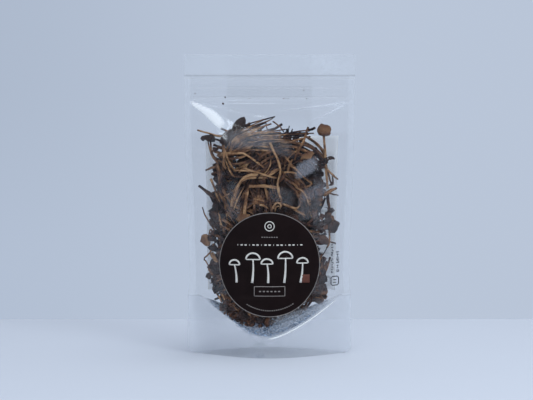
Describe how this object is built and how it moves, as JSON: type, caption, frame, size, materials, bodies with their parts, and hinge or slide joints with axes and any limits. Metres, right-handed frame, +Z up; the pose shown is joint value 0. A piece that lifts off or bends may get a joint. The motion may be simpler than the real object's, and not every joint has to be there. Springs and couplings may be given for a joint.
{
  "type": "enoki mushroom bunch in a clear stand-up pouch",
  "caption": "Dried enoki mushrooms in a clear stand-up pouch with a press zip, a heat-sealed top, a folded foot gusset, a round front label and an oblong back label.",
  "frame": {"origin": "middle of the foot, on the surface that the pouch stands on", "axes": "+X to the right seen from the front, -Y to the front (the round label's side), +Z up"},
  "size_m": [0.12, 0.0488, 0.21],
  "materials": {
    "film": "clear glossy laminate film, faintly hazy, creased at the corners",
    "zip": "clear extruded plastic",
    "dark_paper": "satin coated paper, near black brown, with plain cream print",
    "pale_paper": "matt pale paper with fine dark rules",
    "mushroom": "dried, wrinkled, amber brown stems and near black caps"
  },
  "bodies": {
    "root": {"front_film": "film", "back_film": "film", "foot_gusset": "film", "zip_rib": "zip", "zip_jaws": "zip", "round_label": "dark_paper", "back_label": "pale_paper", "enoki_heap": "mushroom"}
  },
  "joints": []
}
